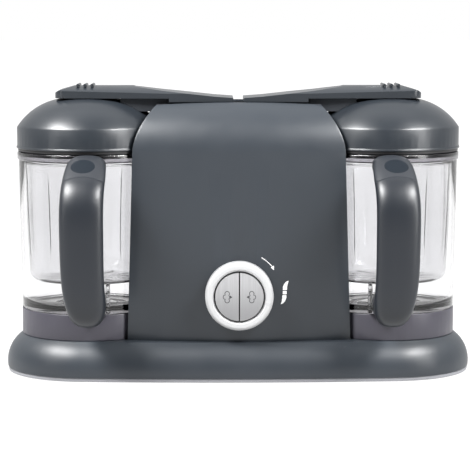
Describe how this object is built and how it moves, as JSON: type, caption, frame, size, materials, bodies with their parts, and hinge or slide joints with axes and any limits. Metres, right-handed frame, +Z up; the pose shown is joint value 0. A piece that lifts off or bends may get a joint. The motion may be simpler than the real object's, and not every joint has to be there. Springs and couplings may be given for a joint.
{
  "type": "double baby food maker",
  "caption": "Countertop steamer and blender with clear lidded bowls, handles and baskets either side of a control column with a knob and steam buttons.",
  "frame": {"origin": "centre of the footprint's bounding box, on the surface that the feet stand on", "axes": "+X to the object's right seen from the front, +Y to the rear, +Z up"},
  "size_m": [0.3998, 0.1989, 0.247],
  "materials": {
    "body_grey": "satin",
    "deck_dark": "satin",
    "lever_grey": "satin",
    "arm_dark": "satin",
    "plate_grey": "matte",
    "foot_grey": "satin",
    "handle_grey": "gloss",
    "thumb_grey": "matte",
    "bowl_clear": "clear polished",
    "basket_clear": "translucent",
    "seal_black": "matte",
    "silicone": "matte",
    "knob_white": "gloss",
    "button_silver": "brushed",
    "switch_black": "matte",
    "stainless": "brushed",
    "heater_alu": "cast",
    "motor_steel": "zinc plated",
    "armature_copper": "enamelled winding",
    "bushing_brass": "turned",
    "drive_nylon": "moulded nylon",
    "board_green": "solder mask"
  },
  "bodies": {
    "base": {"base_cover": "body_grey", "base_plate": "plate_grey", "casing_screws": "stainless", "rubber_feet": "seal_black", "housing_front": "body_grey", "housing_rear": "body_grey", "top_deck": "deck_dark", "hinge_pins": "stainless", "left_boiler": "stainless", "right_boiler": "stainless", "heating_plates": "heater_alu", "tank_seals": "silicone", "motor_can": "motor_steel", "motor_bearings": "bushing_brass", "motor_bracket": "motor_steel", "left_belt": "seal_black", "right_belt": "seal_black", "spindle_bushings": "bushing_brass", "knob_core": "knob_white", "steam_switches": "switch_black", "control_board": "board_green", "cord_gland": "seal_black"},
    "rotor": {"motor_shaft": "motor_steel", "motor_armature": "armature_copper", "motor_fan": "drive_nylon", "motor_pulley": "drive_nylon"},
    "knob": {"knob_ring": "knob_white"},
    "left_drive": {"left_pulley": "drive_nylon", "left_spindle": "motor_steel", "left_coupling": "drive_nylon", "left_blade_hub": "drive_nylon", "left_knives": "stainless"},
    "left_bowl_set": {"left_bowl": "bowl_clear", "left_bowl_foot": "foot_grey", "left_basket": "basket_clear", "left_handle": "handle_grey", "left_thumb_pad": "thumb_grey"},
    "left_lid": {"left_dome": "lever_grey", "left_lid_seal": "seal_black", "left_lid_arm": "arm_dark", "left_steam_gasket": "silicone"},
    "left_lever": {"left_lever": "lever_grey"},
    "left_button": {"left_steam_button": "button_silver"},
    "right_drive": {"right_pulley": "drive_nylon", "right_spindle": "motor_steel", "right_coupling": "drive_nylon", "right_blade_hub": "drive_nylon", "right_knives": "stainless"},
    "right_bowl_set": {"right_bowl": "bowl_clear", "right_bowl_foot": "foot_grey", "right_basket": "basket_clear", "right_handle": "handle_grey", "right_thumb_pad": "thumb_grey"},
    "right_lid": {"right_dome": "lever_grey", "right_lid_seal": "seal_black", "right_lid_arm": "arm_dark", "right_steam_gasket": "silicone"},
    "right_lever": {"right_lever": "lever_grey"},
    "right_button": {"right_steam_button": "button_silver"}
  },
  "joints": [
    {"name": "motor_spin", "type": "hinge", "parent": "base", "child": "rotor", "pos_m": [0, 0.0195, 0.1], "axis": [0, 0, 1], "continuous": true},
    {"name": "left_blade_spin", "type": "hinge", "parent": "base", "child": "left_drive", "pos_m": [-0.128, 0.0195, 0.04], "axis": [0, 0, 1], "continuous": true},
    {"name": "left_bowl_twist", "type": "hinge", "parent": "base", "child": "left_bowl_set", "pos_m": [-0.128, 0.0195, 0.031], "axis": [0, 0, -1], "range_deg": [0, 30]},
    {"name": "left_lid_hinge", "type": "hinge", "parent": "base", "child": "left_lid", "pos_m": [-0.009, 0.0195, 0.2285], "axis": [0, 1, 0], "range_deg": [0, 72]},
    {"name": "left_lever_hinge", "type": "hinge", "parent": "left_lid", "child": "left_lever", "pos_m": [-0.009, 0.0195, 0.2285], "axis": [0, 1, 0], "range_deg": [0, 12]},
    {"name": "left_button_push", "type": "slide", "parent": "base", "child": "left_button", "axis": [0, 1, 0], "range_m": [0, 0.0015], "stiffness_N_per_m": 800},
    {"name": "right_blade_spin", "type": "hinge", "parent": "base", "child": "right_drive", "pos_m": [0.128, 0.0195, 0.04], "axis": [0, 0, 1], "continuous": true},
    {"name": "right_bowl_twist", "type": "hinge", "parent": "base", "child": "right_bowl_set", "pos_m": [0.128, 0.0195, 0.031], "axis": [0, 0, 1], "range_deg": [0, 30]},
    {"name": "right_lid_hinge", "type": "hinge", "parent": "base", "child": "right_lid", "pos_m": [0.009, 0.0195, 0.2285], "axis": [0, -1, 0], "range_deg": [0, 72]},
    {"name": "right_lever_hinge", "type": "hinge", "parent": "right_lid", "child": "right_lever", "pos_m": [0.009, 0.0195, 0.2285], "axis": [0, -1, 0], "range_deg": [0, 12]},
    {"name": "right_button_push", "type": "slide", "parent": "base", "child": "right_button", "axis": [0, 1, 0], "range_m": [0, 0.0015], "stiffness_N_per_m": 800},
    {"name": "knob_turn", "type": "hinge", "parent": "base", "child": "knob", "pos_m": [0, -0.0405, 0.0727], "axis": [0, 1, 0], "range_deg": [0, 35], "stiffness_Nm_per_rad": 0.2}
  ],
  "couplings": [
    {"joint": "left_blade_spin", "follows": "motor_spin", "ratio": 0.46154},
    {"joint": "right_blade_spin", "follows": "motor_spin", "ratio": 0.46154}
  ]
}
